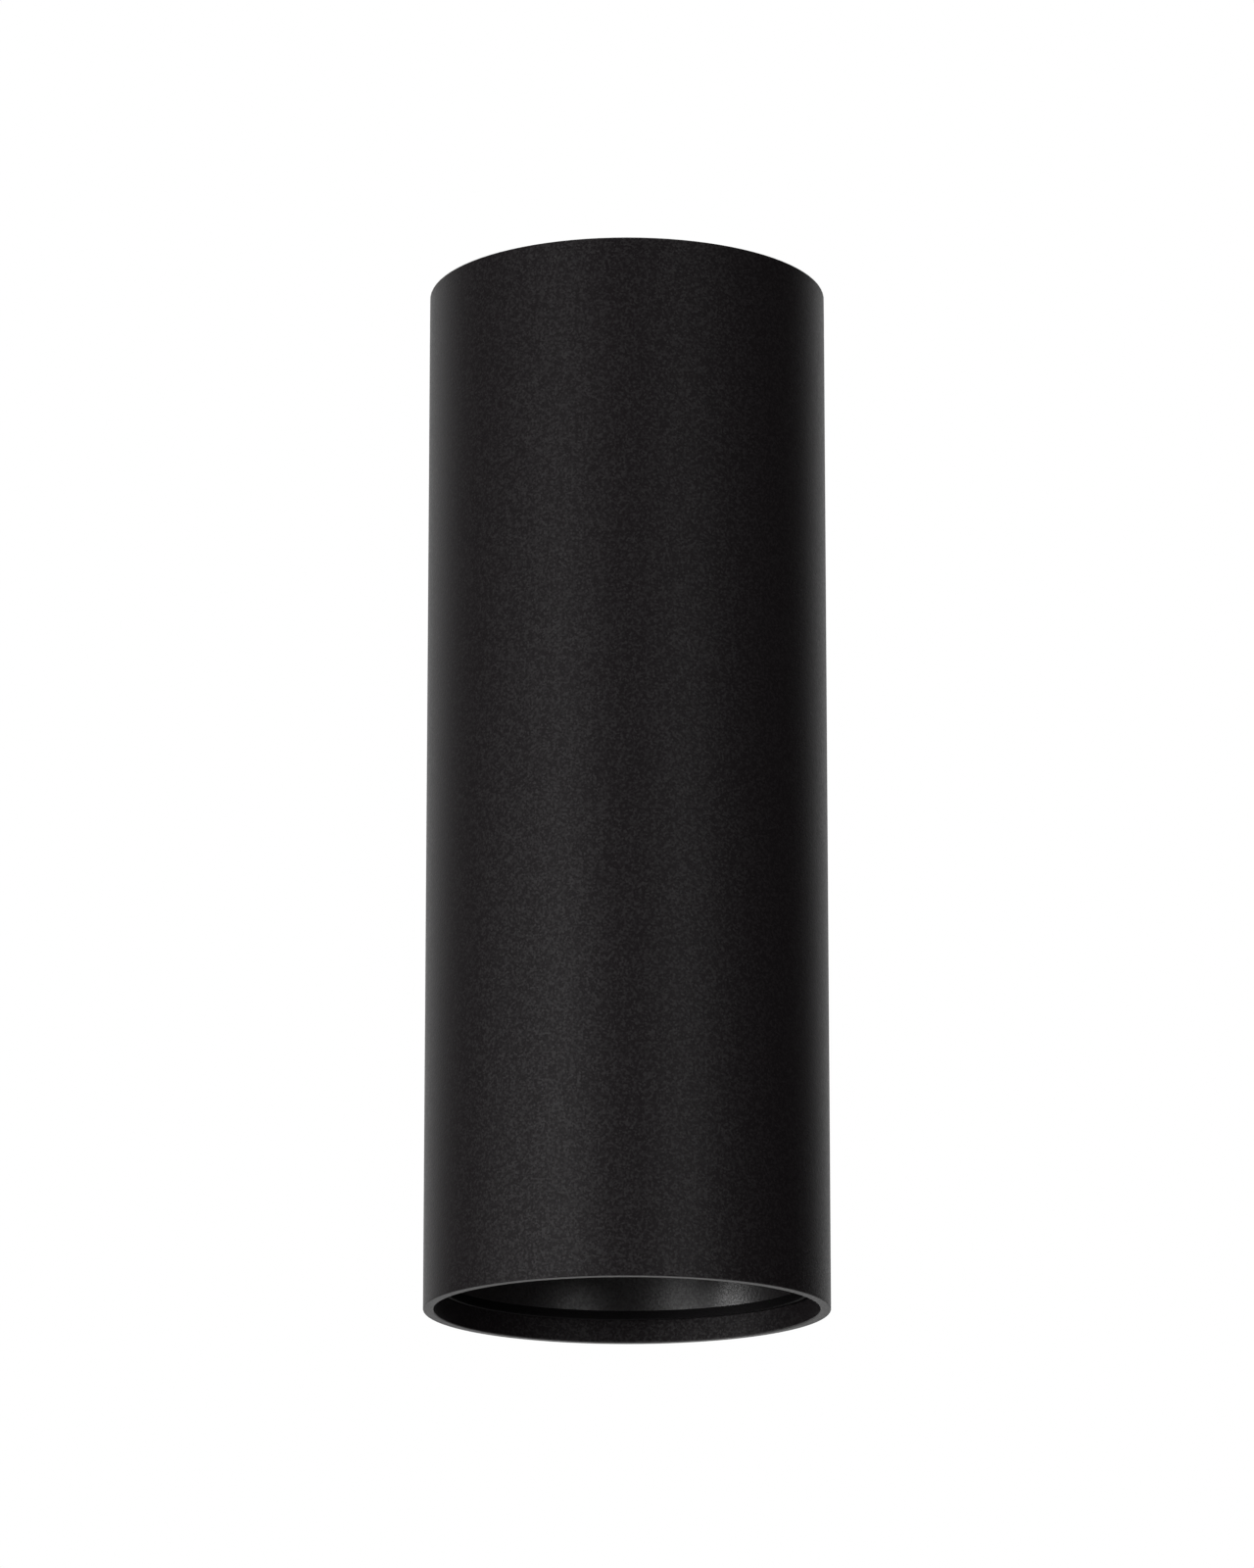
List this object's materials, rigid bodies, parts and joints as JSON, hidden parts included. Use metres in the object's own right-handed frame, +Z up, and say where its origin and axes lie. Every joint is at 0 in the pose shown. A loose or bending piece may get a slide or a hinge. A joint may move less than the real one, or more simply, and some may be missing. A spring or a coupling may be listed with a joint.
{
  "type": "cylinder downlight",
  "caption": "Ceiling-mounted black cylinder downlight with a recessed anti-glare reflector, built-in driver and light source, and a ceiling bracket.",
  "frame": {"origin": "centre of the ceiling bracket, in the plane of the ceiling", "axes": "+Z up along the tube's axis, out of the ceiling face; the tube hangs towards -Z; the two side screws lie on the X axis and the two ceiling slots on the Y axis"},
  "size_m": [0.077, 0.077, 0.2],
  "materials": {
    "tube_black": "fine-textured matt black powder coat on aluminium",
    "reflector_black": "satin black coat on spun aluminium",
    "bracket_zinc": "zinc-plated pressed steel",
    "grommet_rubber": "matt black rubber",
    "nut_brass": "turned brass",
    "grub_black": "blackened steel",
    "screw_zinc": "zinc-plated steel",
    "heatsink_aluminium": "bare cast aluminium",
    "bush_nylon": "natural nylon",
    "driver_white": "white moulded plastic, fine texture",
    "board_green": "green solder mask on glass-fibre board",
    "winding_yellow": "yellow insulating tape over ferrite",
    "capacitor_blue": "dark blue sleeve",
    "choke_copper": "enamelled copper wire on a ferrite core",
    "connector_white": "white moulded plastic",
    "clamp_bronze": "spring bronze",
    "button_brown": "brown moulded plastic",
    "button_blue": "blue moulded plastic",
    "button_green": "green moulded plastic",
    "lead_brown": "brown insulation",
    "lead_blue": "blue insulation",
    "lead_green_yellow": "green and yellow insulation",
    "lead_red": "red insulation",
    "lead_black": "black insulation",
    "lug_tin": "tinned copper",
    "pad_grey": "grey filled silicone",
    "led_board_white": "white-faced aluminium board",
    "emitter_yellow": "yellow phosphor silicone",
    "holder_white": "white heat-proof plastic",
    "carrier_black": "black-painted die-cast aluminium",
    "reflector_bright": "polished anodised aluminium",
    "gasket_silicone": "translucent grey silicone",
    "glass_clear": "clear toughened glass",
    "seal_black": "soft black silicone"
  },
  "bodies": {
    "fixture": {"tube_housing": "tube_black", "ceiling_bracket": "bracket_zinc", "cable_grommet": "grommet_rubber", "clinch_nuts": "nut_brass", "side_grub_screws": "grub_black", "heatsink": "heatsink_aluminium", "lead_bushes": "bush_nylon", "driver_cradle": "bracket_zinc", "cradle_screws": "screw_zinc", "driver_case": "driver_white", "driver_cover": "driver_white", "cover_screws": "screw_zinc", "driver_fixing_screws": "screw_zinc", "driver_board": "board_green", "driver_transformer": "winding_yellow", "driver_capacitors": "capacitor_blue", "driver_inductor": "choke_copper", "input_connector": "connector_white", "terminal_shelf": "bracket_zinc", "shelf_screws": "screw_zinc", "terminal_body": "connector_white", "terminal_base": "connector_white", "terminal_screws": "screw_zinc", "contact_clamps": "clamp_bronze", "live_lead": "lead_brown", "neutral_lead": "lead_blue", "earth_lead": "lead_green_yellow", "earth_lug": "lug_tin", "earth_screw": "nut_brass", "led_lead_positive": "lead_red", "led_lead_negative": "lead_black", "thermal_pad": "pad_grey", "led_board": "led_board_white", "led_emitter": "emitter_yellow", "led_holder": "holder_white", "holder_screws": "screw_zinc", "optic_carrier": "carrier_black", "carrier_screws": "screw_zinc", "optic_reflector": "reflector_bright", "optic_gasket": "gasket_silicone", "cover_glass": "glass_clear", "neck_seal": "seal_black"},
    "reflector": {"anti_glare_reflector": "reflector_black"},
    "live_release": {"live_button": "button_brown"},
    "neutral_release": {"neutral_button": "button_blue"},
    "earth_release": {"earth_button": "button_green"}
  },
  "joints": [
    {"name": "reflector_twist", "type": "hinge", "parent": "fixture", "child": "reflector", "pos_m": [0, 0, -0.19], "axis": [0, 0, -1], "range_deg": [0, 28]},
    {"name": "live_button_press", "type": "slide", "parent": "fixture", "child": "live_release", "axis": [0, 0, -1], "range_m": [0, 0.0015], "stiffness_N_per_m": 1500, "springref_m": -0.0006},
    {"name": "neutral_button_press", "type": "slide", "parent": "fixture", "child": "neutral_release", "axis": [0, 0, -1], "range_m": [0, 0.0015], "stiffness_N_per_m": 1500, "springref_m": -0.0006},
    {"name": "earth_button_press", "type": "slide", "parent": "fixture", "child": "earth_release", "axis": [0, 0, -1], "range_m": [0, 0.0015], "stiffness_N_per_m": 1500, "springref_m": -0.0006}
  ]
}
